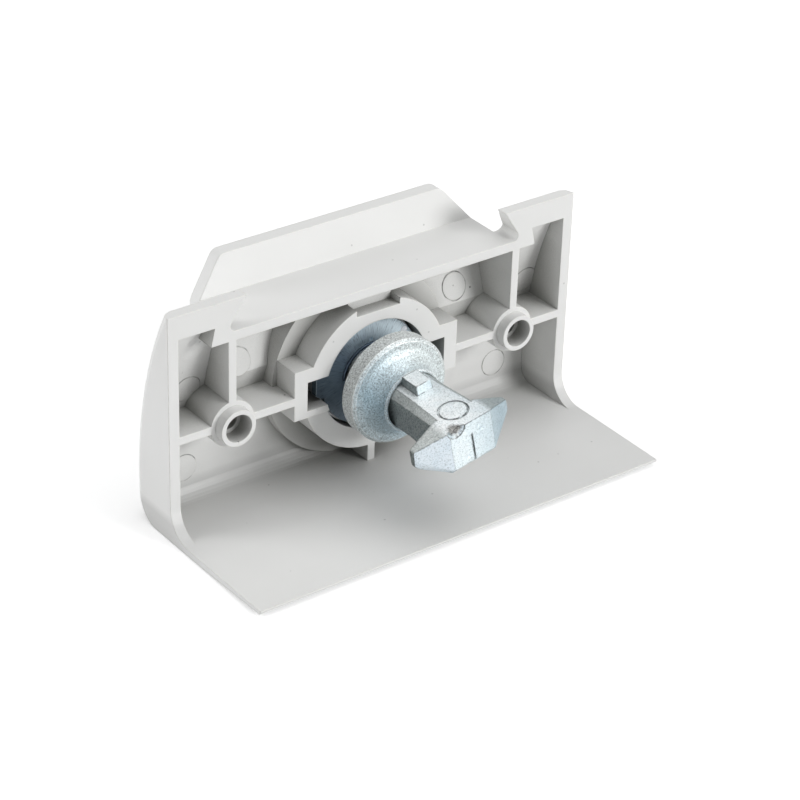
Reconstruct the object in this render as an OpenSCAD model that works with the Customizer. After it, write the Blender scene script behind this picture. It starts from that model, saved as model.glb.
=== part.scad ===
// Double bit cabinet lock: a moulded escutcheon with a finger lip, and a quarter-turn T-bolt lock in it.
// Axes: +X to the lock's left as seen from its back, +Y out of the open back, +Z up.
// Origin: where the bolt's axis meets the plane of the rear rim.

/* [Escutcheon shell] */
// width over the side walls
shell_w = 100; // [96:1:110]
// height of the rear rim's top above the bolt axis
rim_top = 28; // [27:0.5:32]
// depth of the apron's top plane below the bolt axis
floor_drop = 21; // [21:0.5:25]
// how far the apron reaches behind the rim
apron_reach = 32; // [26:1:40]
// thickness of the apron where it leaves the shell
apron_t = 1.6; // [1.4:0.1:2.2]
// thickness of the apron's rear edge
apron_edge_t = 0.9; // [0.7:0.1:1.3]
// radius of the bowed front, seen from the side
front_r = 88.5; // [84:0.5:100]
// depth of the front's fullest point in front of the rim
belly_depth = 13.2; // [12.9:0.1:14]
// depth of that point below the bolt axis
belly_drop = 14; // [12:0.5:16]
// thickness of the front wall
front_wall = 2.2; // [1.8:0.1:2.6]
// thickness of each side wall
side_wall = 2.4; // [1.8:0.1:3]
// radius where the underside meets the front
chin_r = 5; // [3:0.5:6]
// radius of the blend between the front wall's inside and the apron
blend_r = 3; // [1.2:0.1:3.6]
// sweep from each side wall's rear edge into the apron
cheek_r = 6; // [3:0.5:8]

/* [Finger lip] */
// height of the ledge in front of the lip above the bolt axis
ledge_top = 20.85; // [20.5:0.1:22]
// thickness of the ledge
ledge_t = 2.1; // [1.6:0.1:2.4]
// depth of the finger recess from the rim to the lip
recess_depth = 14; // [13.5:0.5:16]
// forward lean of the lip, degrees from upright
lip_lean = 17.5; // [15:0.5:19]
// thickness of the lip
lip_t = 2.9; // [2.4:0.1:3.2]
// half width of the lip at the ledge
lip_foot = 33.8; // [31:0.1:34]
// half width of the lip at its top, before its corners are rounded
lip_head = 27.4; // [24:0.1:29]
// how far the lip stands above the rim's top
lip_rise = 0.45; // [0:0.05:1.5]
// radius of the lip's top corners
lip_corner_r = 2.8; // [1.5:0.1:3.2]
// half width of the recess at the rim's top
notch_head = 31.2; // [30:0.1:32]
// half width of the recess at the ledge
notch_foot = 35.6; // [35:0.1:36]
// radius at the foot of each end of the recess
notch_r = 1.2; // [0.8:0.1:1.5]
// half width of the swept part of the front that carries the lip
scoop_half = 35.9; // [35.6:0.1:36.2]

/* [Ribs and bosses] */
// thickness of the moulded ribs
rib_t = 1.8; // [1.4:0.1:2.2]
// half the distance between the two locating bosses
boss_pitch = 35.2; // [34.9:0.1:35.5]
// radius of each boss's shoulder
boss_r = 5.1; // [4.8:0.1:5.3]
// radius of each boss's spigot
spigot_r = 4.05; // [3.8:0.05:4.3]
// how far each spigot stands behind the rim
spigot_h = 2.3; // [1.5:0.1:3]
// radius of the hole in each spigot
spigot_hole_r = 3.05; // [2.9:0.05:3.2]
// depth of that hole from the spigot's end
spigot_hole_depth = 4; // [3.5:0.1:4.5]
// radius of the screw pilot below it
pilot_r = 2.1; // [1.6:0.05:2.4]
// depth of the pilot below the rim
pilot_depth = 7.5; // [6:0.1:8]
// radius of the round marks that the mould's pins leave on the inner wall
eject_r = 3; // [2:0.1:3.2]
// how far those marks stand out of the wall
eject_h = 0.12; // [0.08:0.01:0.2]
// top of the small cavities at both ends, above the bolt axis
corner_cavity_top = 22.7; // [22:0.1:23.5]
// half width where those cavities step up, at their top
corner_cavity_from = 39.2; // [39:0.1:41]
// how much further out the foot of that step lies
corner_slant = 0.9; // [0:0.1:1.4]

/* [Lock ring] */
// radius of the bore that takes the barrel
ring_bore_r = 12.6; // [12.4:0.05:12.8]
// wall of the ring round the bore
ring_wall = 4.6; // [4:0.1:5.2]
// how far the ring's lower half sits below the rim
ring_lower_set = 1.3; // [0.8:0.1:1.8]
// radius of the step round the foot of the ring
base_r = 21.5; // [20.8:0.1:22]
// depth of that step's face below the rim
base_set = 6.4; // [6:0.1:7]
// depth of the step's lower half below the rim
base_lower_set = 8.5; // [8:0.1:9]
// half width of the square frames beside the ring
frame_half = 20.4; // [20:0.1:20.8]
// top of those frames above the bolt axis
frame_top = 6.7; // [6:0.1:7.2]
// bottom of those frames below the bolt axis
frame_drop = 4.6; // [4.2:0.1:5.2]
// half width over the two ear pockets
pocket_half = 17.2; // [16.6:0.1:17.8]
// top of the ear pockets above the bolt axis
pocket_top = 3.55; // [3.3:0.05:4]
// bottom of the ear pockets below the bolt axis
pocket_drop = 3.1; // [3.1:0.05:3.5]
// depth of the ear pockets below the rim
pocket_depth = 6.4; // [5.8:0.1:7]
// half width of the slot on top of the ring
slot_half = 5.35; // [4.5:0.05:6]
// height of the slot's floor above the bolt axis
slot_floor = 15; // [14.6:0.1:15.6]
// depth of the slot below the rim
slot_depth = 3.2; // [2.5:0.1:4]
// radius of the round seat on the front
collar_r = 14.4; // [13.8:0.1:15]
// depth of the round seat's face in front of the rim
collar_depth = 14.6; // [14.4:0.1:15]
// depth of the inner land that the barrel stands on
land_depth = 12.2; // [12:0.1:12.6]

/* [Barrel and cover plate] */
// clearance round the barrel in its bore
barrel_gap = 0.3; // [0.2:0.05:0.45]
// radius of the barrel's nose, seen at the front
nose_r = 10.1; // [9.9:0.05:10.4]
// how far the nose stands in front of the round seat
nose_proud = 0.3; // [0.1:0.1:0.8]
// depth of the cover plate's rear face below the rim
plate_set = 2.3; // [2:0.1:2.8]
// thickness of the cover plate
plate_t = 1.5; // [1.2:0.1:1.8]
// radius of the cover plate
plate_r = 11.9; // [11.6:0.05:12.1]
// reach of the two ears from the bolt axis
ear_reach = 13.5; // [13:0.1:15]
// half height of each ear at its tip
ear_tip = 2; // [1.5:0.1:2.4]
// clearance of the ears in their pockets
ear_gap = 0.15; // [0.1:0.05:0.3]
// radius of the small set mark in the plate
mark_r = 0.5; // [0.3:0.05:0.7]
// radius of the two pins that hold the plate
stake_r = 0.8; // [0.6:0.05:0.9]
// length of those pins
stake_l = 6; // [4.5:0.1:7]

/* [Key sleeve and drive] */
// radius of the sleeve's front journal
sleeve_r = 8; // [7.8:0.05:8.3]
// radius of the sleeve's body behind it
sleeve_body_r = 9.5; // [9.2:0.05:9.7]
// running clearance of turning pieces
run_gap = 0.05; // [0.02:0.01:0.08]
// depth of the sleeve's front face below the barrel's nose
sleeve_set = 0.4; // [0.2:0.1:0.8]
// wall left in front of the sleeve's body
nose_lip = 4.4; // [4.2:0.1:4.6]
// radius of the round key socket
socket_r = 5.3; // [5:0.05:5.4]
// depth of the key socket
socket_depth = 5.2; // [5:0.1:5.5]
// radius of the key post
post_r = 2.4; // [2.1:0.05:2.6]
// thickness of the two bits
bit_t = 3; // [2.5:0.1:3.5]
// reach of each bit from the axis
bit_reach = 4.3; // [4:0.05:4.5]
// depth of the post's end below the sleeve's face
post_set = 0.6; // [0.3:0.1:1]
// side of the bolt's square tang
tang = 8; // [7.6:0.1:8.2]
// clearance of the tang in the sleeve
tang_gap = 0.05; // [0.03:0.01:0.1]
// radius of the cross pin
pin_r = 1.25; // [1:0.05:1.3]
// clearance of the cross pin in its hole
pin_gap = 0.05; // [0.03:0.01:0.1]
// how far the cross pin's ends stay inside the sleeve
pin_set = 0.3; // [0.1:0.1:0.6]
// radius of the sealing ring's cord
seal_r = 0.72; // [0.65:0.01:0.76]
// clearance left round the sealing ring
seal_gap = 0.03; // [0.02:0.01:0.05]
// half width of the stop lug, degrees
lug_half = 12; // [9:1:15]
// how far the stop lug stands out of the sleeve
lug_h = 1.3; // [1:0.1:1.4]
// clearance of the stop lug at each end of its turn, degrees
lug_play = 0.5; // [0.3:0.1:2]
// thickness of the thrust washer
washer_t = 1; // [0.8:0.1:1.2]

/* [T-bolt] */
// angle of the bolt at rest, turned about its axis
bolt_rest = 12; // [0:1:20]
// radius of the bolt's round journal
journal_r = 6.3; // [6.25:0.01:6.35]
// side of the square shaft
shaft = 10.2; // [10:0.05:10.25]
// chamfer along the shaft's edges
shaft_chamfer = 1.5; // [1.45:0.05:1.7]
// distance of the head's inner side behind the rim
head_from = 26.8; // [26:0.1:30]
// distance of the head's rear end behind the rim
head_to = 32.4; // [31.4:0.1:36]
// reach of each arm of the head from the axis
arm_reach = 11.75; // [11:0.05:12.5]
// half height of each arm at its tip
arm_tip = 2.2; // [1.8:0.1:3.5]
// half height of the head at its middle
head_half = 5.4; // [5.3:0.05:5.6]
// thickness of each arm at its tip
arm_t = 1.8; // [1.2:0.1:2.2]
// bevel along the lower edge of the head's end
head_bevel = 1.4; // [0.4:0.1:1.6]
// radius of the mould's pin mark on the bolt's top
mould_mark_r = 3.1; // [1.5:0.1:3.2]
// radius of the torn-off gate on the head
gate_r = 2.1; // [1:0.1:2.4]
// length of the two nubs on the shaft
nub_l = 5.2; // [4:0.1:6]
// width of those nubs
nub_w = 4; // [3:0.1:4.5]
// how far the nubs stand above the shaft
nub_h = 2.1; // [1.4:0.1:2.6]

/* [Pressure disc and spring] */
// radius of the pressure disc
disc_r = 11.7; // [11.2:0.05:12]
// distance of the disc's front face behind the rim
disc_from = 4; // [3.8:0.1:5]
// thickness of the disc at its rim
disc_t = 4.2; // [3.8:0.1:4.6]
// distance from the disc's front face to the end of its hub
disc_l = 8.6; // [8:0.1:9.5]
// clearance of the disc on the shaft
disc_gap = 0.057; // [0.04:0.001:0.08]
// width of the flat round the disc's rear face
disc_flat = 1.5; // [1:0.1:2]
// wall of the hub at its end
hub_wall = 0.65; // [0.5:0.05:1]
// clearance round the spring in the hollow that holds it
spring_seat_gap = 0.35; // [0.3:0.05:0.6]
// depth of that hollow
spring_seat_depth = 3.2; // [2.4:0.1:3.4]
// mean radius of the spring
coil_r = 7.4; // [7.4:0.05:7.7]
// radius of the spring's wire
wire_r = 0.4; // [0.3:0.05:0.45]
// number of turns in the spring
coil_turns = 5; // [4:0.25:5.5]

/* [Hidden] */
$fn = 64;
cavity_half = shell_w / 2 - side_wall;
floor_z = -floor_drop;
underside_z = floor_z - apron_t;
ledge_under = ledge_top - ledge_t;
front_centre = front_r - belly_depth;
ring_r = ring_bore_r + ring_wall;
barrel_r = ring_bore_r - barrel_gap;
nose_end = -collar_depth - nose_proud;
nose_hole_r = nose_r + barrel_gap;
plate_rear = -plate_set;
plate_front = plate_rear - plate_t;
sleeve_front = nose_end + sleeve_set;
sleeve_step = sleeve_front + nose_lip - sleeve_set;
sleeve_rear = plate_front - washer_t;
socket_floor = sleeve_front + socket_depth;
pin_y = (socket_floor + sleeve_rear) / 2;
stake_ring = (sleeve_body_r + run_gap + barrel_r) / 2;
groove_r = sleeve_body_r + lug_h + 0.3;
seal_y = sleeve_front + 2.1;
journal_end = plate_rear + 1.7;
corner_reach = norm([shaft / 2, shaft / 2 - shaft_chamfer]);
hub_hole_r = corner_reach + disc_gap;
disc_end = disc_from + disc_l;
nub_from = disc_end;
coil_from = plate_rear + wire_r * cos(30);
coil_to = disc_from + spring_seat_depth - wire_r * cos(30);

// depth of the bowed front at a height, moved in by an inset
function front_y(z, inset = 0) =
    front_centre - sqrt(pow(front_r - inset, 2) - pow(z + belly_drop, 2));

// depth of the lip's rear face at a height
function lip_y(z) = -recess_depth - tan(lip_lean) * (z - ledge_top);

// extrudes a flat outline drawn as (Y, Z) to both sides of the middle
module across(length) {
    rotate([90, 0, 90]) translate([0, 0, -length / 2]) linear_extrude(length) children();
}

// extrudes a flat outline drawn as (X, Z) from one depth forward to another
module forward(from, to) {
    translate([0, from, 0]) rotate([90, 0, 0]) linear_extrude(from - to) children();
}

// a round rod on the bolt axis
module rod(r, from, to) {
    translate([0, from, 0]) rotate([90, 0, 0]) cylinder(r = r, h = from - to);
}

module block(x0, x1, y0, y1, z0, z1) {
    translate([x0, y0, z0]) cube([x1 - x0, y1 - y0, z1 - z0]);
}

// a copy on each side of the middle
module both_sides() {
    children();
    mirror([1, 0, 0]) children();
}

// side view of the shell without its apron; the inset only moves the front
module shell_side(inset) {
    chin = [for (a = [0:15:90])
        [front_y(underside_z + chin_r, inset) + chin_r * (1 - cos(a)),
         underside_z + chin_r * (1 - sin(a))]];
    polygon(concat(
        [[0, underside_z], [0, rim_top]],
        [for (i = [0:12]) let (z = rim_top + (underside_z + chin_r - rim_top) * i / 12)
            [front_y(z, inset), z]],
        [for (i = [1:len(chin) - 1]) chin[i]]));
}

// side view of the hollow behind the front wall, up to a given height
module hollow_side(top) {
    low = floor_z + blend_r;
    polygon(concat(
        [[1, floor_z], [1, top]],
        [for (i = [0:12]) let (z = top + (low - top) * i / 12)
            [front_y(z, front_wall), z]],
        [for (a = [15:15:90])
            [front_y(low, front_wall) + blend_r * (1 - cos(a)), low - blend_r * sin(a)]]));
}

// side view of the part of the front that sweeps forward under the lip
module scoop_side(inset) {
    low = 3.5;
    polygon([[-1, low], [lip_y(low) - lip_t / cos(lip_lean) + inset, low],
        [lip_y(ledge_top - inset) - lip_t / cos(lip_lean) + inset, ledge_top - inset],
        [-1, ledge_top - inset]]);
}

// back view of the finger recess cut into the top of the shell
module recess_outline() {
    hull() {
        for (s = [-1, 1]) {
            translate([s * (notch_foot - notch_r), ledge_top + notch_r]) circle(notch_r, $fn = 32);
            translate([s * notch_head, rim_top + 1]) square([0.01, 0.01], center = true);
        }
    }
}

// back view of the lip and of the swept part that carries it
module lip_outline() {
    side = [[scoop_half, -1], [scoop_half, ledge_top - 3.6], [lip_foot, ledge_top],
        [lip_head, rim_top + lip_rise]];
    offset(r = lip_corner_r) offset(delta = -lip_corner_r)
        polygon(concat(side, [for (i = [3:-1:0]) [-side[i][0], side[i][1]]]));
}

module lip() {
    thick = lip_t / cos(lip_lean);
    low = ledge_top - ledge_t / 2;
    high = rim_top + lip_rise + 1;
    intersection() {
        across(2 * scoop_half) polygon([[lip_y(low), low], [lip_y(high), high],
            [lip_y(high) - thick, high], [lip_y(low) - thick, low]]);
        forward(1, -3 * recess_depth) lip_outline();
    }
}

// the bowed shell, its apron and the swept part under the lip, still solid
module shell_solid() {
    difference() {
        hull() {
            across(shell_w - 4) shell_side(0);
            across(shell_w - 1.2) shell_side(0.6);
            across(shell_w) shell_side(2);
        }
        forward(1, -2 * belly_depth) recess_outline();
    }
    intersection() {
        hull() {
            across(2 * scoop_half - 3.2) scoop_side(0);
            across(2 * scoop_half) scoop_side(1.4);
        }
        forward(2, -3 * recess_depth) lip_outline();
    }
    lip();
    across(shell_w) polygon([[-belly_depth / 2, underside_z], [apron_reach / 3, underside_z],
        [apron_reach - 0.4, floor_z - apron_edge_t], [apron_reach, floor_z - apron_edge_t + 0.3],
        [apron_reach, floor_z], [-belly_depth / 2, floor_z]]);
    both_sides() translate([cavity_half, 0, 0]) rotate([90, 0, 90]) linear_extrude(side_wall)
        difference() {
            translate([-1, floor_z - 0.5]) square([cheek_r + 1, cheek_r + 0.5]);
            translate([cheek_r, floor_z + cheek_r]) circle(cheek_r);
        }
    rod(collar_r, -belly_depth / 2, -collar_depth);
}

// everything that stands on the inside of the front wall
module ribs() {
    deep = -collar_depth;
    both_sides() {
        block(boss_pitch - rib_t / 2, boss_pitch + rib_t / 2, deep, 0, 0, ledge_top);
        block(ring_bore_r, cavity_half + 1, deep, 0, -rib_t / 2, rib_t / 2);
        translate([boss_pitch, 0, 0]) rod(boss_r, 0, deep);
        block(0, frame_half, deep, 0, -frame_drop, frame_top);
    }
    rod(ring_r, -ring_lower_set, deep);
    intersection() {
        rod(ring_r, 0, deep);
        block(-ring_r, ring_r, deep, 0, -frame_drop, ring_r);
    }
    rod(base_r, -base_lower_set, deep);
    intersection() {
        rod(base_r, -base_set, deep);
        block(-base_r, base_r, deep, 0, -frame_drop, ledge_top);
    }
    block(-slot_half, slot_half, deep, -slot_depth, slot_floor - 1, ledge_top);
    block(-rib_t / 2, rib_t / 2, deep, -ring_lower_set, floor_z - 0.5, -ring_r + 1);
    // marks of the mould's pins: two on the swept wall, four on the bowed wall
    for (at = [[-27, 8.2], [27.7, 7.2]])
        translate([at[0], lip_y(at[1]), at[1]]) rotate([lip_lean - 90, 0, 0])
            translate([0, 0, -1]) cylinder(r = eject_r, h = 1 + eject_h);
    for (at = [[40.3, 5.4], [40, -14.3], [-45.2, 5], [-39.5, -14.7]])
        translate([at[0], front_y(at[1], front_wall), at[1]])
            rotate([-90 - asin((at[1] + belly_drop) / (front_r - front_wall)), 0, 0])
                translate([0, 0, -1]) cylinder(r = eject_r, h = 1 + eject_h);
}

// the hollow behind the front wall
module hollow() {
    across(2 * cavity_half) hollow_side(ledge_under);
    both_sides() intersection() {
        across(2 * cavity_half) hollow_side(corner_cavity_top);
        forward(2, -2 * collar_depth) polygon([[corner_cavity_from, corner_cavity_top],
            [cavity_half, corner_cavity_top], [cavity_half, ledge_under - 1],
            [corner_cavity_from + corner_slant, ledge_under - 1],
            [corner_cavity_from + corner_slant, ledge_under]]);
    }
    across(2 * boss_pitch) polygon([[1, 0], [1, ledge_under],
        [lip_y(ledge_under), ledge_under], [lip_y(0), 0]]);
}

module housing() {
    color([0.84, 0.84, 0.82]) difference() {
        union() {
            difference() {
                shell_solid();
                difference() {
                    hollow();
                    ribs();
                }
            }
            both_sides() translate([boss_pitch, 0, 0]) rod(spigot_r, spigot_h, -1);
        }
        // the lock's seat, its ear pockets and the slot over the ring
        rod(ring_bore_r, 1, -land_depth);
        rod(nose_hole_r, 1, -2 * collar_depth);
        rod(collar_r, -collar_depth, -2 * collar_depth);
        block(-pocket_half, pocket_half, -pocket_depth, 1, -pocket_drop, pocket_top);
        block(-slot_half, slot_half, -slot_depth, 1, slot_floor, ledge_under);
        both_sides() translate([boss_pitch, 0, 0]) {
            rod(spigot_hole_r, spigot_h + 1, spigot_h - spigot_hole_depth);
            rod(pilot_r, 0, -pilot_depth);
        }
    }
}

// outline of a round piece with two ears that key it in the housing's pockets
module eared(r, trim) {
    root = pocket_drop - ear_gap;
    root_x = sqrt(pow(ring_bore_r, 2) - pow(root, 2)) - ear_gap;
    circle(r);
    for (a = [0, 180]) rotate(a) polygon([[r - 3, -root], [root_x, -root],
        [ear_reach - trim, -ear_tip], [ear_reach - trim, ear_tip], [root_x, root], [r - 3, root]]);
}

module at_stakes() {
    for (a = [44, 140])
        translate([stake_ring * cos(a), 0, stake_ring * sin(a)]) children();
}

// a flat sector from one angle to another, for the stop lug and its groove
module sector(r, from, to) {
    polygon(concat([[0, 0]], [for (i = [0:16]) let (a = from + (to - from) * i / 16)
        [r * cos(a), r * sin(a)]]));
}

module barrel() {
    color([0.62, 0.64, 0.66]) difference() {
        union() {
            rod(barrel_r, plate_front, -land_depth);
            rod(nose_r, -land_depth + 1, nose_end);
            forward(plate_front, -pocket_depth) eared(barrel_r - 0.5, 0.3);
        }
        rod(sleeve_r + run_gap, plate_front + 1, nose_end - 1);
        rod(sleeve_body_r + run_gap, plate_front + 1, sleeve_step);
        // groove that lets the stop lug turn a quarter
        forward(plate_front + 1, sleeve_rear - 2.8)
            sector(groove_r, -180 - lug_half - lug_play, -90 + lug_half + lug_play);
        // way in for the cross pin
        translate([0, pin_y, 0]) cylinder(r = pin_r + 0.3, h = 2 * barrel_r);
        at_stakes() rod(stake_r + pin_gap, plate_front + 1, plate_rear - stake_l - 0.3);
    }
}

module cover_plate() {
    color([0.42, 0.5, 0.58]) difference() {
        forward(plate_rear, plate_front) eared(plate_r, 0);
        rod(journal_r + run_gap, 1, -land_depth);
        translate([0, 0, plate_r - 4.6]) rod(mark_r, 1, plate_rear - 0.5);
        at_stakes() rod(stake_r + pin_gap, 1, -land_depth);
    }
}

module plate_pins() {
    color([0.7, 0.7, 0.7]) at_stakes() rod(stake_r, plate_rear, plate_rear - stake_l);
}

module key_sleeve() {
    color([0.66, 0.67, 0.68]) rotate([0, bolt_rest, 0]) difference() {
        union() {
            rod(sleeve_r, sleeve_rear, sleeve_front);
            rod(sleeve_body_r, sleeve_rear, sleeve_step);
            forward(sleeve_rear, sleeve_rear - 2.4)
                sector(sleeve_body_r + lug_h, -90 - lug_half, -90 + lug_half);
        }
        rod(socket_r, socket_floor, sleeve_front - 1);
        forward(sleeve_rear + 1, socket_floor - 1) square(tang + 2 * tang_gap, center = true);
        translate([0, seal_y, 0]) rotate([90, 0, 0]) difference() {
            cylinder(r = sleeve_r + 1, h = 2 * seal_r + 0.2, center = true);
            cylinder(r = sleeve_r + run_gap - 2 * seal_r - 2 * seal_gap, h = 4, center = true);
        }
        translate([-2 * sleeve_body_r, pin_y, 0]) rotate([0, 90, 0])
            cylinder(r = pin_r + pin_gap, h = 4 * sleeve_body_r);
    }
}

module seal_ring() {
    color([0.08, 0.08, 0.08]) translate([0, seal_y, 0]) rotate([90, 0, 0])
        rotate_extrude() translate([sleeve_r + run_gap - seal_r - seal_gap, 0]) circle(seal_r, $fn = 24);
}

module thrust_washer() {
    color([0.75, 0.75, 0.76]) difference() {
        rod(sleeve_body_r - 0.25, plate_front, plate_front - washer_t);
        rod(journal_r + 0.3, 1, -land_depth);
    }
}

module cross_pin() {
    color([0.55, 0.56, 0.58]) rotate([0, bolt_rest, 0])
        translate([-sleeve_body_r + pin_set, pin_y, 0]) rotate([0, 90, 0])
            cylinder(r = pin_r, h = 2 * (sleeve_body_r - pin_set));
}

// square with its corners cut off
module chamfered(side, cut) {
    h = side / 2;
    polygon([[h, -h + cut], [h, h - cut], [h - cut, h], [-h + cut, h],
        [-h, h - cut], [-h, -h + cut], [-h + cut, -h], [h - cut, -h]]);
}

// one level of the T-shaped head, seen along the bolt; the bevel cuts its lower edge
module head_level(y, reach, tip, half, bevel = 0) {
    flat = shaft / 2 - 0.1;
    side = [[flat, half], [reach, tip], [reach, 0.7 + bevel - tip],
        [max(flat, reach - 0.9), bevel - tip - 0.35], [flat, bevel - half]];
    forward(y + 0.01, y) polygon(concat(side, [for (i = [4:-1:0]) [-side[i][0], side[i][1]]]));
}

module t_bolt() {
    color([0.74, 0.76, 0.77]) rotate([0, bolt_rest, 0]) difference() {
        union() {
            // key post with its two bits
            rod(post_r, socket_floor, sleeve_front + post_set);
            intersection() {
                forward(socket_floor, sleeve_front + post_set)
                    square([2 * bit_reach, bit_t], center = true);
                rod(bit_reach, socket_floor, sleeve_front);
            }
            // square tang, round journal and square shaft
            intersection() {
                forward(sleeve_rear, socket_floor) square(tang, center = true);
                rod(tang * 0.64, sleeve_rear, socket_floor);
            }
            rod(journal_r, journal_end, sleeve_rear);
            forward(head_from + 1, journal_end) chamfered(shaft, shaft_chamfer);
            // the shaft flares a little into the head
            hull() {
                forward(nub_from + nub_l + 0.01, nub_from + nub_l) chamfered(shaft, shaft_chamfer);
                forward(head_from + 1, head_from + 0.99)
                    chamfered(2 * head_half, shaft_chamfer - 0.3);
            }
            hull() {
                head_level(head_from, arm_reach - 0.3, arm_tip - 0.3, head_half - 0.25);
                head_level(head_from + 0.5, arm_reach, arm_tip, head_half);
                head_level(head_from + arm_t - 0.6, arm_reach, arm_tip, head_half);
                head_level(head_from + arm_t, arm_reach, arm_tip, arm_tip, head_bevel);
                head_level(head_to - head_bevel, shaft / 2, arm_tip, head_half);
                head_level(head_to, shaft / 2, arm_tip, head_half, head_bevel);
            }
            // nubs that hold the pressure disc on
            for (s = [0, 180]) rotate([0, s, 0]) translate([0, nub_from + nub_l / 2, shaft / 2 - 0.3])
                linear_extrude(nub_h + 0.3, scale = 0.92) square([nub_w, nub_l], center = true);
        }
        // hole for the cross pin
        translate([-tang, pin_y, 0]) rotate([0, 90, 0]) cylinder(r = pin_r + pin_gap, h = 2 * tang);
        // round pin mark on the top, torn-off gate and parting groove on the head's end
        translate([0, head_from + 0.1, head_half - 0.25]) difference() {
            cylinder(r = mould_mark_r, h = 1, $fn = 40);
            translate([0, 0, -1]) cylinder(r = mould_mark_r - 0.22, h = 3, $fn = 40);
        }
        translate([3.4, head_to, head_half]) scale([1, 0.36, 0.9]) sphere(gate_r, $fn = 20);
        block(-0.1, 0.1, head_to - 0.2, head_to + 1, -head_half, head_half - 3);
    }
}

// the coil's path, and a six-sided tube along it
coil_steps = 8 * coil_turns;
function coil_point(i, k = 0) = let (a = 360 * coil_turns * i / coil_steps, t = 60 * k,
        r = coil_r + wire_r * cos(t) * (k < 0 ? 0 : 1))
    [r * cos(a), coil_from + (coil_to - coil_from) * i / coil_steps + (k < 0 ? 0 : wire_r * sin(t)),
     r * sin(a)];
coil_gap = min([for (i = [0:coil_steps]) for (j = [i + 5:1:coil_steps])
    norm(coil_point(i, -1) - coil_point(j, -1))]) - 2 * wire_r;
echo("least gap between the spring's turns", coil_gap);

module spring() {
    n = coil_steps;
    points = [for (i = [0:n]) for (k = [0:5]) coil_point(i, k)];
    sides = [for (i = [0:n - 1]) for (k = [0:5]) let (a = 6 * i + k, b = 6 * i + (k + 1) % 6)
        for (f = [[a, b, a + 6], [b, b + 6, a + 6]]) f];
    ends = concat([for (k = [1:4]) [0, k + 1, k]], [for (k = [1:4]) [6 * n, 6 * n + k, 6 * n + k + 1]]);
    color([0.5, 0.52, 0.55]) polyhedron(points, concat(sides, ends));
}

module pressure_disc() {
    rim = hub_hole_r + hub_wall;
    rear = disc_from + disc_t;
    seat_r = coil_r + wire_r + spring_seat_gap;
    sweep_x = disc_r - disc_flat - rim;
    sweep_y = disc_end - 0.5 - rear;
    color([0.72, 0.73, 0.74]) rotate([-90, 0, 0]) rotate_extrude()
        polygon(concat(
            [[hub_hole_r, disc_from + spring_seat_depth], [seat_r, disc_from + spring_seat_depth],
             [seat_r, disc_from], [disc_r - 0.3, disc_from], [disc_r, disc_from + 0.3],
             [disc_r, rear - 0.6], [disc_r - 0.6, rear]],
            [for (a = [90:-11.25:0])
                [rim + sweep_x * (1 - cos(a)), rear + sweep_y * (1 - sin(a))]],
            [[rim, disc_end - 0.25], [rim - 0.25, disc_end], [hub_hole_r, disc_end]]));
}

housing();
barrel();
cover_plate();
plate_pins();
key_sleeve();
seal_ring();
thrust_washer();
cross_pin();
t_bolt();
spring();
pressure_disc();
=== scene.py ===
import math

import bmesh
import bpy
from mathutils import Matrix, Vector
from mathutils.noise import noise as gradient


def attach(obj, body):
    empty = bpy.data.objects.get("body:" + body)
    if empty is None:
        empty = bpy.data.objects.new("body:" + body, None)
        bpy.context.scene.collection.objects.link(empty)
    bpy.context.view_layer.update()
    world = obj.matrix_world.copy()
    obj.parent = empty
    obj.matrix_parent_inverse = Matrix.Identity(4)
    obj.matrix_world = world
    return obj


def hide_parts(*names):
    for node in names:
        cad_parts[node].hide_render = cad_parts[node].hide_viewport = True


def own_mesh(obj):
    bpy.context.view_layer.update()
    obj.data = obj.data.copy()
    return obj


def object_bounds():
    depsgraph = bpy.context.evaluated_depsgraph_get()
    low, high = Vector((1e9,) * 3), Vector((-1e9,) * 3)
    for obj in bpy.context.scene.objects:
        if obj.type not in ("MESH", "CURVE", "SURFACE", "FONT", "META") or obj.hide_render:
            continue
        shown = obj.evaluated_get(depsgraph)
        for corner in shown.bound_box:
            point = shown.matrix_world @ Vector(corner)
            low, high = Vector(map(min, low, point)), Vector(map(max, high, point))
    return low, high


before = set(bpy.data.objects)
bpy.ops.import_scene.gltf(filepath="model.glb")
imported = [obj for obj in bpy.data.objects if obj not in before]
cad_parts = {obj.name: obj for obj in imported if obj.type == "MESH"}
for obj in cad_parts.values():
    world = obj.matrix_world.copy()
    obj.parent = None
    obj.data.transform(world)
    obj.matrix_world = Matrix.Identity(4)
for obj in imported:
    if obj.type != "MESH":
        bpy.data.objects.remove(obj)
cad_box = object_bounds()

# Moulded shell: one light grey thermoplastic moulding with ribs, cells and a leaning finger lip.
# The mould leaves a fine satin grain and a little colour drift. Open edges get a pale,
# slightly warm painted highlight, and edges in recesses get painted shade.
def finish(name, metallic=0.0, **constants):
    material = bpy.data.materials.new(name)
    material.use_nodes = True
    tree = material.node_tree
    shader = tree.nodes["Principled BSDF"]
    shader.inputs["Metallic"].default_value = metallic
    for socket, value in constants.items():
        shader.inputs[socket.replace("_", " ")].default_value = value
    place = tree.nodes.new("ShaderNodeTexCoord").outputs["Object"]
    return material, tree, shader, place


def wire(tree, kind, inputs, **settings):
    made = tree.nodes.new("ShaderNode" + kind)
    for key, value in settings.items():
        setattr(made, key, value)
    for key, value in inputs.items():
        if isinstance(value, bpy.types.NodeSocket):
            tree.links.new(value, made.inputs[key])
        else:
            made.inputs[key].default_value = value
    return made


def calc(tree, operation, *values):
    return wire(tree, "Math", dict(enumerate(values)), operation=operation).outputs[0]


def span(tree, value, start, end):
    # 0 at start, 1 at end, held outside them
    return wire(tree, "MapRange", {"Value": value, "From Min": start, "From Max": end}).outputs["Result"]


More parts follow.
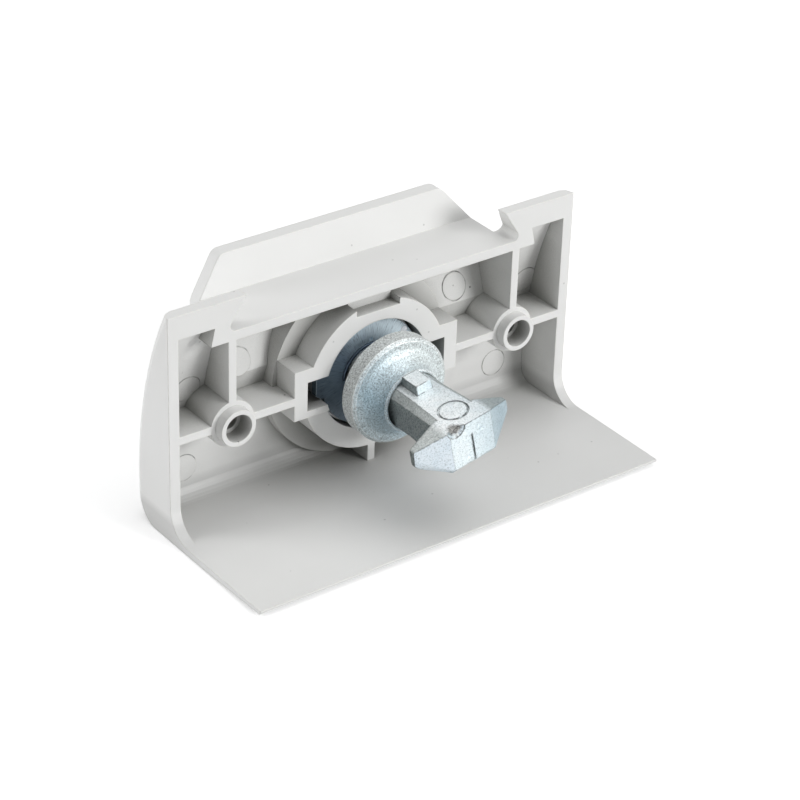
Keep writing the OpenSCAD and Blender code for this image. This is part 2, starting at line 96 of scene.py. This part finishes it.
def ramp(tree, factor, *stops):
    # each stop is a position with a colour, or with one value for a grey
    stops = [(at, (*value, 1) if isinstance(value, tuple) else (value, value, value, 1))
             for at, value in stops]
    made = wire(tree, "ValToRGB", {"Fac": factor})
    marks = made.color_ramp.elements
    marks[0].position, marks[0].color = stops[0]
    marks[1].position, marks[1].color = stops[-1]
    for position, colour in stops[1:-1]:
        marks.new(position).color = colour
    return made.outputs["Color"]


def noise(tree, place, scale, detail=2.0, roughness=0.5):
    return wire(tree, "TexNoise", {"Vector": place, "Scale": scale, "Detail": detail,
                                   "Roughness": roughness}).outputs["Fac"]


def mix(tree, factor, a, b, blend="MIX"):
    made = wire(tree, "Mix", {}, data_type="RGBA", blend_type=blend)
    for socket, value in ((made.inputs[0], factor), (made.inputs[6], a), (made.inputs[7], b)):
        if isinstance(value, bpy.types.NodeSocket):
            tree.links.new(value, socket)
        else:
            socket.default_value = value
    return made.outputs[2]


# a mask of the rounded edges, from the bevelled normal against the true normal; each material colours its
# edges with it
def rounded_edge_mask(tree, radius, start, end):
    rounded = wire(tree, "Bevel", {"Radius": radius}, samples=6).outputs["Normal"]
    flat = tree.nodes.new("ShaderNodeNewGeometry").outputs["Normal"]
    match = wire(tree, "VectorMath", {0: rounded, 1: flat}, operation="DOT_PRODUCT").outputs["Value"]
    return rounded, span(tree, match, end, start)


def surface(tree, shader, tone, gloss, grain=None):
    tree.links.new(tone, shader.inputs["Base Color"])
    tree.links.new(gloss, shader.inputs["Roughness"])
    if grain is not None:
        tree.links.new(grain, shader.inputs["Normal"])


def bump(tree, height, strength, distance, rounded=None):
    inputs = {"Height": height, "Strength": strength, "Distance": distance}
    if rounded is not None:
        inputs["Normal"] = rounded
    return wire(tree, "Bump", inputs).outputs["Normal"]


def dress(node, material):
    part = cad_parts[node]
    if not part.material_slots:
        part.data.materials.append(material)
    for slot in part.material_slots:
        slot.material = material


shell_plastic, tree, shader, place = finish("light_grey_moulding")
drift = noise(tree, place, 28, 3)
tone = ramp(tree, drift, (0.3, (0.765, 0.765, 0.75)), (0.7, (0.80, 0.80, 0.79)))
rounded, edge = rounded_edge_mask(tree, 0.0003, 0.86, 0.995)
deep = wire(tree, "AmbientOcclusion", {"Distance": 0.016}, samples=8).outputs["AO"]
outer = ramp(tree, deep, (0.50, 0), (0.62, 1))
# painted highlight on open edges and painted shade on edges in recesses, chosen by the occlusion
edge_light_and_shade = mix(tree, outer, (0.50, 0.50, 0.48, 1), (0.97, 0.955, 0.90, 1))
uneven = ramp(tree, noise(tree, place, 500, 3, 0.6), (0.38, 0.25), (0.56, 1))
edge = calc(tree, "MULTIPLY", edge, uneven)
tone = mix(tree, edge, tone, edge_light_and_shade)
# painted shade: darker in corners, creases and recesses, from the occlusion
painted_cavity_shade = ramp(tree, deep, (0.08, (0.30, 0.30, 0.29)), (0.26, (0.62, 0.62, 0.61)), (0.42, (0.95, 0.95, 0.945)),
             (0.56, 1))
# painted shade by place, fitted to the photo: darker at the apron's root and on the wall round the
# ring's foot; no painted cavity shade on the free part of the apron
shade_fades_from, shade_gone_at = 0.005, 0.014
apron_top, apron_blend = -0.0185, -0.0165
apron_depth = 0.030
flat = wire(tree, "SeparateXYZ", {"Vector": place})
free = span(tree, flat.outputs["Y"], shade_fades_from, shade_gone_at)
painted_cavity_shade = mix(tree, free, painted_cavity_shade, (1, 1, 1, 1))
tone = mix(tree, 1.0, tone, painted_cavity_shade, "MULTIPLY")
low = span(tree, flat.outputs["Z"], apron_blend, apron_top)
reach = span(tree, flat.outputs["Y"], 0.0, apron_depth)
# painted shade on the apron, darker towards the wall
near_wall = ramp(tree, reach, (0.0, 0.80), (0.4, 0.95), (0.8, 1))
tone = mix(tree, low, tone, mix(tree, 1.0, tone, near_wall, "MULTIPLY"))
facing = wire(tree, "SeparateXYZ", {"Vector": tree.nodes.new("ShaderNodeTexCoord").outputs["Normal"]})
facing = calc(tree, "GREATER_THAN", facing.outputs["Y"], 0.75)
cell_floor, lip_foot = -0.0035, 0.0195
inside = calc(tree, "LESS_THAN", flat.outputs["Y"], cell_floor)
inside = calc(tree, "MULTIPLY", inside, facing)
below_lip = calc(tree, "LESS_THAN", flat.outputs["Z"], lip_foot)
inside = calc(tree, "MULTIPLY", inside, below_lip)
on_wall = wire(tree, "CombineXYZ", {"X": flat.outputs["X"], "Z": flat.outputs["Z"]}).outputs[0]
out = wire(tree, "VectorMath", {0: on_wall}, operation="LENGTH").outputs["Value"]
ring_foot, clear_wall = 0.017, 0.027
out = span(tree, out, ring_foot, clear_wall)
# painted shade on the inner wall round the ring's foot
foot = ramp(tree, out, (0.0, (0.42, 0.42, 0.41)), (0.40, (0.76, 0.76, 0.75)), (0.8, 1))
tone = mix(tree, inside, tone, mix(tree, 1.0, tone, foot, "MULTIPLY"))
speck = wire(tree, "TexVoronoi", {"Vector": place, "Scale": 420, "Randomness": 1.0})
spot = ramp(tree, speck.outputs["Distance"], (0.0, 1), (0.07, 1), (0.115, 0))
# thin dark rings round the mould's pin marks, on the inner walls only: painted shade of the marks' small
# steps
ring = None
mark_radius, line_half_width = 0.00304, 0.00011
pin_marks = ((-0.0270, 0.0082), (0.0277, 0.0072), (0.0403, 0.0054), (0.0400, -0.0143),
             (-0.0452, 0.0050), (-0.0395, -0.0147))
for x, z in pin_marks:
    away = wire(tree, "VectorMath", {0: on_wall, 1: (x, 0, z)}, operation="DISTANCE")
    near = calc(tree, "COMPARE", away.outputs["Value"], mark_radius, line_half_width)
    ring = near if ring is None else calc(tree, "MAXIMUM", ring, near)
ring = calc(tree, "MULTIPLY", ring, inside)
broken = ramp(tree, noise(tree, place, 330, 2), (0.42, 0.05), (0.60, 0.9))
ring = calc(tree, "MULTIPLY", ring, broken)
tone = mix(tree, ring, tone, (0.16, 0.16, 0.15, 1))
chosen = ramp(tree, speck.outputs["Color"], (0.77, 0), (0.82, 1))
spot = mix(tree, 1.0, spot, chosen, "MULTIPLY")
spot = mix(tree, 1.0, spot, mix(tree, outer, (1, 1, 1, 1), (0.35, 0.35, 0.35, 1)), "MULTIPLY")
tone = mix(tree, spot, tone, (0.22, 0.22, 0.21, 1))
gloss = ramp(tree, noise(tree, place, 90, 2), (0.3, 0.40), (0.7, 0.52))
grain = bump(tree, noise(tree, place, 3200, 2), 0.18, 0.00004, rounded)
surface(tree, shader, tone, gloss, grain)
dress("housing", shell_plastic)

# Barrel and key sleeve: dull zinc castings, seen at the front of the lock.
# The sleeve turns in the barrel and holds the double-bit key post.
cast_zinc, tree, shader, place = finish("dull_zinc_casting", 1.0)
tone = ramp(tree, noise(tree, place, 420, 4), (0.3, (0.46, 0.47, 0.48)), (0.7, (0.62, 0.63, 0.64)))
rounded, edge = rounded_edge_mask(tree, 0.0002, 0.85, 0.99)
tone = mix(tree, edge, tone, (0.78, 0.78, 0.77, 1))
gloss = ramp(tree, noise(tree, place, 700, 3), (0.3, 0.34), (0.7, 0.52))
grain = bump(tree, noise(tree, place, 2600, 3), 0.3, 0.00004, rounded)
surface(tree, shader, tone, gloss, grain)
dress("barrel", cast_zinc)
dress("key_sleeve", cast_zinc)

# Cover plate: stamped steel with blue zinc plating, keyed in the ring by its two ears.
# The blue plating runs from a dark navy, painted shade of the disc's shadow towards the lower left,
# to a bright blue-white painted highlight towards the top, as in the photo, with fine marks that run
# outwards.
plated, tree, shader, place = finish("blue_zinc_plating", 0.3)
across = wire(tree, "SeparateXYZ", {"Vector": place})
lean = calc(tree, "SUBTRACT", across.outputs["X"], across.outputs["Z"])
drift = calc(tree, "MULTIPLY", noise(tree, place, 260, 3), 0.004)
lean = calc(tree, "ADD", lean, drift)
lean = span(tree, lean, -0.010, 0.016)
# painted highlight towards the top, painted shade of the disc's shadow towards the lower left
tone = ramp(tree, lean, (0.0, (0.80, 0.93, 1.0)), (0.3, (0.75, 0.90, 1.0)), (0.55, (0.42, 0.56, 0.70)),
            (1.0, (0.10, 0.14, 0.18)))
# painted highlight: lighter along the edges
rounded, edge = rounded_edge_mask(tree, 0.00015, 0.85, 0.99)
tone = mix(tree, edge, tone, (0.62, 0.70, 0.76, 1))
turned = calc(tree, "ARCTAN2", across.outputs["X"], across.outputs["Z"])
spread = calc(tree, "MULTIPLY", turned, 0.016)
reach = wire(tree, "VectorMath", {0: place}, operation="LENGTH").outputs["Value"]
reach = calc(tree, "MULTIPLY", reach, 0.12)
drawn = wire(tree, "CombineXYZ", {"X": spread, "Y": reach}).outputs[0]
streaks = noise(tree, drawn, 3800, 3, 0.6)
streak_tone = ramp(tree, streaks, (0.3, (0.55, 0.57, 0.61)), (0.5, 0.88), (0.66, 1))
tone = mix(tree, 1.0, tone, streak_tone, "MULTIPLY")
gloss = ramp(tree, streaks, (0.3, 0.24), (0.7, 0.42))
grain = bump(tree, streaks, 0.25, 0.00003, rounded)
surface(tree, shader, tone, gloss, grain)
dress("cover_plate", plated)

# Small steel parts: pins that hold the plate, thrust washer and cross pin.
# Bright plated steel with fine wire-drawing marks.
bright, tree, shader, place = finish("bright_plated_steel", 1.0)
tone = ramp(tree, noise(tree, place, 900, 3), (0.3, (0.50, 0.53, 0.56)), (0.7, (0.66, 0.68, 0.70)))
gloss = ramp(tree, noise(tree, place, 1500, 2), (0.3, 0.24), (0.7, 0.38))
grain = bump(tree, noise(tree, place, 4000, 2), 0.12, 0.00002)
surface(tree, shader, tone, gloss, grain)
for name in ("plate_pins", "thrust_washer", "cross_pin"):
    dress(name, bright)

# Spring: fine wire round the shaft, between the cover plate and the pressure disc.
# It has the plate's blue plating, painted very dark: painted shade, as it sits behind the disc.
wire_blue, tree, shader, place = finish("dark_blue_wire", 1.0)
tone = ramp(tree, noise(tree, place, 900, 3), (0.3, (0.05, 0.07, 0.10)), (0.7, (0.10, 0.13, 0.17)))
gloss = ramp(tree, noise(tree, place, 1500, 2), (0.3, 0.3), (0.7, 0.45))
surface(tree, shader, tone, gloss)
coil_radius, wire_radius = 0.0069, 0.00036
front_end, free_length = -0.0019, 0.0087
steps, steps_per_turn, sides = 120, 24, 8
bm = bmesh.new()
rings = []
for i in range(steps + 1):
    a = math.tau * i / steps_per_turn
    out = Vector((math.cos(a), 0, math.sin(a)))
    middle = out * coil_radius + Vector((0, front_end + free_length * i / steps, 0))
    rings.append([bm.verts.new(middle + wire_radius * (out * math.cos(t) + Vector((0, math.sin(t), 0))))
                  for t in (math.tau * k / sides for k in range(sides))])
for a, b in zip(rings, rings[1:]):
    for k in range(sides):
        bm.faces.new((a[k], b[k], b[(k + 1) % sides], a[(k + 1) % sides]))
for end in (rings[0], rings[-1]):
    bm.faces.new(end)
bmesh.ops.recalc_face_normals(bm, faces=bm.faces)
for face in bm.faces:
    face.smooth = len(face.verts) == 4
coil = bpy.data.meshes.new("spring_wire")
bm.to_mesh(coil)
bm.free()
coil.materials.append(wire_blue)
coil = bpy.data.objects.new("spring_wire", coil)
bpy.context.scene.collection.objects.link(coil)
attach(coil, "bolt")
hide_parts("spring")
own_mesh(coil)

# Sealing ring: black rubber cord ring in the sleeve's groove.
# Its skin is matt, with a little dust.
rubber, tree, shader, place = finish("black_seal_rubber")
tone = ramp(tree, noise(tree, place, 600, 3), (0.35, 0.012), (0.75, (0.045, 0.045, 0.042)))
gloss = ramp(tree, noise(tree, place, 300, 2), (0.3, 0.5), (0.7, 0.75))
surface(tree, shader, tone, gloss)
dress("seal_ring", rubber)

# T-bolt: one rough zinc casting with the square shaft, two nubs and the T-head. Its edges are soft,
# its faces uneven, the mould's pin left a round mark on top, and the gate was torn off at the ridge.
# At rest the bolt is turned 12 degrees off upright.
cos, sin = math.cos(math.radians(12)), math.sin(math.radians(12))


def casting(node, body, cell, lumps, marks):
    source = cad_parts[node]
    bm = bmesh.new()
    bm.from_mesh(source.data)
    bm.transform(source.matrix_world)
    bmesh.ops.remove_doubles(bm, verts=bm.verts, dist=1e-6)
    bmesh.ops.triangulate(bm, faces=bm.faces)
    for edge in bm.edges:
        edge.smooth = edge.calc_face_angle(0) < math.radians(22)
    for _ in range(9):
        long = [edge for edge in bm.edges if edge.calc_length() > cell]
        if not long:
            break
        bmesh.ops.subdivide_edges(bm, edges=long, cuts=1, use_grid_fill=True)
        bmesh.ops.triangulate(bm, faces=[face for face in bm.faces if len(face.verts) > 3])
    bm.normal_update()
    rear = max(vert.co.y for vert in bm.verts)
    for vert in bm.verts:
        spot = vert.co * 1000
        uneven = lumps * min(0, gradient(spot * 0.45) + 0.5 * gradient(spot * 1.3) - 0.5)
        vert.co += vert.normal * 0.001 * (uneven - marks(spot, vert.normal))
        vert.co.y = min(vert.co.y, rear)
    round_off = {vert for vert in bm.verts if rounded_part(vert.co * 1000)}
    for edge in bm.edges:
        edge.smooth = edge.smooth or all(vert in round_off for vert in edge.verts)
    for _ in range(5):
        bmesh.ops.smooth_vert(bm, verts=[vert for vert in bm.verts if vert in round_off], factor=0.5,
                              use_axis_x=True, use_axis_y=True, use_axis_z=True)
    for face in bm.faces:
        face.smooth = True
    mesh = bpy.data.meshes.new(node + "_casting")
    bm.to_mesh(mesh)
    bm.free()
    made = bpy.data.objects.new(node + "_casting", mesh)
    bpy.context.scene.collection.objects.link(made)
    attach(made, body)
    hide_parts(node)
    return made


# places on the head, in millimetres: its inner side, its rear face, the ends of its arms
head_from, face_from, arm_from = 25.5, 28.5, 5.6


def rounded_part(spot):
    return spot.y > head_from and abs(spot.x * cos - spot.z * sin) > arm_from


def dent(distance, width):
    return max(0.0, 1.0 - (distance / width) ** 2)


# shallow pits in millimetres, each with its place across and up the head and its size, and the
# rough skin of the torn gate beside the ridge
pits = ((-1.9, 3.6, 0.45), (-2.6, 2.5, 0.5), (-3.8, 4.1, 0.4), (-1.2, 1.2, 0.4), (1.5, -2.4, 0.5))
pit_depth, gate_depth = 0.2, 0.3


def bolt_marks(spot, normal):
    x = spot.x * cos - spot.z * sin
    z = spot.x * sin + spot.z * cos
    if spot.y < face_from or normal.y < 0.3:
        return 0.0
    depth = sum(pit_depth * dent(math.hypot(x - px, z - pz), size) for px, pz, size in pits)
    torn = math.hypot((x - 3.4) / 2.3, (z - 4.6) / 1.9)
    if torn < 1:
        depth += gate_depth * (1 - torn) * max(0, 0.5 + gradient(spot * 2.6))
    return depth


grainy, tree, shader, place = finish("grainy_plated_casting", 0.45, Specular_IOR_Level=0.4)
coarse = noise(tree, place, 3000, 4, 0.75)
blotch = noise(tree, place, 380, 3)
tone = ramp(tree, coarse, (0.36, (0.55, 0.57, 0.57)), (0.47, (0.94, 0.97, 0.97)), (0.58, 1.0))
tone = mix(tree, blotch, tone, (0.92, 0.97, 1.0, 1), "MULTIPLY")
# painted shade by the way a face points, fitted to the photo: darker and rougher at the sides,
# brighter on top, and rear faces shaded by how far they turn sideways
facing = tree.nodes.new("ShaderNodeTexCoord").outputs["Normal"]
above = wire(tree, "VectorMath", {0: facing, 1: (sin, 0, cos)}, operation="DOT_PRODUCT").outputs["Value"]
aside = wire(tree, "VectorMath", {0: facing, 1: (cos, 0, -sin)}, operation="DOT_PRODUCT").outputs["Value"]
behind = wire(tree, "VectorMath", {0: facing, 1: (0, 1, 0)}, operation="DOT_PRODUCT").outputs["Value"]
facing_shade_and_grain = ramp(tree, above, (0.0, (0.34, 0.37, 0.38)), (0.45, (0.40, 0.42, 0.42)), (0.75, (0.62, 0.63, 0.62)),
            (0.93, 1))
aside = span(tree, aside, -0.6, 0.6)
end = ramp(tree, aside, (0.2, (0.66, 0.73, 0.76)), (0.42, (0.82, 0.87, 0.89)), (0.55, (0.90, 0.94, 0.95)),
           (0.8, (0.84, 0.89, 0.94)))
facing_shade_and_grain = mix(tree, ramp(tree, behind, (0.42, 0), (0.55, 1)), facing_shade_and_grain, end)
speckled = ramp(tree, noise(tree, place, 2600, 4, 0.8), (0.36, (0.25, 0.26, 0.26)), (0.54, (1, 1, 0.98)))
rough = ramp(tree, above, (0.4, 1), (0.9, 0.25))
speckled = mix(tree, rough, (1, 1, 1, 1), speckled)
facing_shade_and_grain = mix(tree, ramp(tree, behind, (0.42, 1), (0.55, 0.15)), facing_shade_and_grain,
           mix(tree, 1.0, facing_shade_and_grain, speckled, "MULTIPLY"))
tone = mix(tree, 1.0, tone, facing_shade_and_grain, "MULTIPLY")
# also painted shade, fitted to the photo: the arms' upper sides are greyer than the shaft's top
along = wire(tree, "VectorMath", {0: place, 1: (cos, 0, -sin)}, operation="DOT_PRODUCT").outputs["Value"]
arm = span(tree, calc(tree, "ABSOLUTE", along), 0.0050, 0.0062)
arm = mix(tree, ramp(tree, behind, (0.42, 1), (0.55, 0)), (0, 0, 0, 1), arm)
arm_shade = mix(tree, 1.0, (0.66, 0.67, 0.66, 1), speckled, "MULTIPLY")
tone = mix(tree, arm, tone, mix(tree, 1.0, tone, arm_shade, "MULTIPLY"))
shade = ramp(tree, span(tree, along, -0.010, 0.010), (0.1, (0.66, 0.71, 0.74)),
             (0.45, (0.93, 0.95, 0.96)), (0.6, 1))
tone = mix(tree, 1.0, tone, shade, "MULTIPLY")
# painted shade: dark lines along the edges
rounded, edge = rounded_edge_mask(tree, 0.00045, 0.92, 0.992)
uneven = ramp(tree, noise(tree, place, 650, 2), (0.36, 0.2), (0.50, 0.95))
edge = calc(tree, "MULTIPLY", edge, uneven)
tone = mix(tree, edge, tone, (0.09, 0.10, 0.10, 1))
gate = (0.00445, 0.0322, 0.0046)
away = wire(tree, "VectorMath", {0: place, 1: gate}, operation="DISTANCE").outputs["Value"]
away = calc(tree, "ADD", away, calc(tree, "MULTIPLY", noise(tree, place, 900, 3), 0.0016))
away = span(tree, away, 0.0020, 0.0028)
torn = ramp(tree, noise(tree, place, 1500, 4, 0.8), (0.40, 0.03), (0.66, (0.50, 0.50, 0.48)))
tone = mix(tree, away, torn, tone)
gloss = ramp(tree, noise(tree, place, 900, 3), (0.3, 0.42), (0.7, 0.60))
grain = bump(tree, coarse, 0.6, 0.00008, rounded)
surface(tree, shader, tone, gloss, grain)
bolt = casting("t_bolt", "bolt", 0.0004, 0.06, bolt_marks)
bolt.data.materials.append(grainy)

# Pressure disc: a casting like the bolt, with a conical hub that the nubs hold.
# Its side is grainy and pale. The rear face gets darker and bluer towards the lower left, seen from
# behind, as in the photo: painted shade there and painted light towards the upper right.
disc_metal, tree, shader, place = finish("disc_casting", 0.4, Specular_IOR_Level=0.35)
coarse = noise(tree, place, 3000, 4, 0.75)
tone = ramp(tree, coarse, (0.36, 0.32), (0.5, (0.70, 0.70, 0.69)), (0.63, (0.96, 0.96, 0.95)))
across = wire(tree, "SeparateXYZ", {"Vector": place})
lean = calc(tree, "SUBTRACT", across.outputs["X"], across.outputs["Z"])
lean = span(tree, lean, -0.014, 0.014)
# painted light towards the upper right and painted shade towards the lower left of the rear face
face_light_and_shade = ramp(tree, lean, (0.1, (0.90, 0.98, 1.0)), (0.45, (0.72, 0.86, 0.94)), (0.75, (0.46, 0.62, 0.72)),
            (1.0, (0.60, 0.72, 0.78)))
rear = span(tree, across.outputs["Y"], 0.0074, 0.0084)
rear = mix(tree, rear, (0.92, 0.97, 0.98, 1), face_light_and_shade)
tone = mix(tree, 1.0, tone, rear, "MULTIPLY")
# painted highlight: a pale line along the edges
rounded, edge = rounded_edge_mask(tree, 0.0003, 0.88, 0.99)
tone = mix(tree, edge, tone, (1.0, 1.0, 0.98, 1))
gloss = ramp(tree, noise(tree, place, 800, 3), (0.3, 0.36), (0.7, 0.52))
grain = bump(tree, coarse, 0.55, 0.00008, rounded)
surface(tree, shader, tone, gloss, grain)
dress("pressure_disc", disc_metal)

# Floor: a plain pale sheet under the apron, white to the camera, with the lock's own shadow.
# It is only the stage, not part of the lock.
def seen_rays(tree):
    # camera, glossy and transmission rays
    rays = tree.nodes.new("ShaderNodeLightPath").outputs
    seen = calc(tree, "MAXIMUM", rays["Is Camera Ray"], rays["Is Glossy Ray"])
    return calc(tree, "MAXIMUM", seen, rays["Is Transmission Ray"])


bm = bmesh.new()
bmesh.ops.create_grid(bm, x_segments=1, y_segments=1, size=3.0)
bmesh.ops.translate(bm, verts=bm.verts, vec=(0, 0, cad_box[0][2] - 0.00005))
sheet = bpy.data.meshes.new("floor")
bm.to_mesh(sheet)
bm.free()
floor = bpy.data.objects.new("floor", sheet)
bpy.context.scene.collection.objects.link(floor)
paper, tree, shader, place = finish("pale_floor", Roughness=0.9)
tone = ramp(tree, noise(tree, place, 3, 2), (0.3, 0.80), (0.7, 0.82))
tree.links.new(tone, shader.inputs["Base Color"])
seen = seen_rays(tree)
lift = wire(tree, "Emission", {"Color": (1, 1, 1, 1), "Strength": 0.42})
none = wire(tree, "Emission", {"Color": (0, 0, 0, 1), "Strength": 0.0})
lifted = wire(tree, "MixShader", {0: seen, 1: none.outputs[0], 2: lift.outputs[0]})
both = wire(tree, "AddShader", {0: shader.outputs[0], 1: lifted.outputs[0]})
tree.links.new(both.outputs[0], tree.nodes["Material Output"].inputs["Surface"])
sheet.materials.append(paper)

# Light: a soft studio sky, white where it is seen, one large lamp behind the viewer's right
# shoulder, and two on the far side, above and to the left.
world = bpy.data.worlds.new("studio")
world.use_nodes = True
bpy.context.scene.world = world
tree = world.node_tree
seen = seen_rays(tree)
soft = wire(tree, "Background", {"Color": (0.97, 0.985, 1.0, 1), "Strength": 0.205})
white = wire(tree, "Background", {"Color": (1, 1, 1, 1), "Strength": 1.0})
sky = wire(tree, "MixShader", {0: seen, 1: soft.outputs[0], 2: white.outputs[0]})
tree.links.new(sky.outputs[0], tree.nodes["World Output"].inputs["Surface"])


def lamp(name, place, aim, size, power):
    light = bpy.data.lights.new(name, "AREA")
    light.shape, light.size, light.energy = "DISK", size, power
    made = bpy.data.objects.new(name, light)
    made.location = place
    made.rotation_euler = (Vector(aim) - Vector(place)).to_track_quat("-Z", "Y").to_euler()
    bpy.context.scene.collection.objects.link(made)


lamp("behind_viewer", (-0.44, 0.90, 0.37), (0, 0, 0), 0.45, 6.1)
lamp("overhead", (-0.20, 0.10, 0.84), (0, 0, 0), 0.9, 3.3)
lamp("left_front", (0.80, -0.50, 0.40), (0, 0, 0), 0.5, 4.7)

# Camera: behind and above the lock, to its left, at the photograph's viewing angle.
turn, rise, roll = math.radians(37.22), math.radians(30.41), math.radians(1.84)
back = Vector((math.sin(turn) * math.cos(rise), math.cos(turn) * math.cos(rise), math.sin(rise)))
level = (-back).cross(Vector((0, 0, 1))).normalized()
upright = level.cross(-back)
right = math.cos(roll) * level + math.sin(roll) * upright
up = -math.sin(roll) * level + math.cos(roll) * upright
lens = bpy.data.cameras.new("view")
lens.lens, lens.sensor_width = 123.83, 36.0
lens.clip_start, lens.clip_end = 0.01, 20
camera = bpy.data.objects.new("view", lens)
aim, distance = Vector((-0.00617, 0.0, -0.008)), 0.5704
camera.matrix_world = Matrix.Translation(aim + back * distance) @ Matrix(
    (right, up, back)).transposed().to_4x4()
bpy.context.scene.collection.objects.link(camera)
bpy.context.scene.camera = camera
bpy.context.scene.view_settings.view_transform = "Standard"
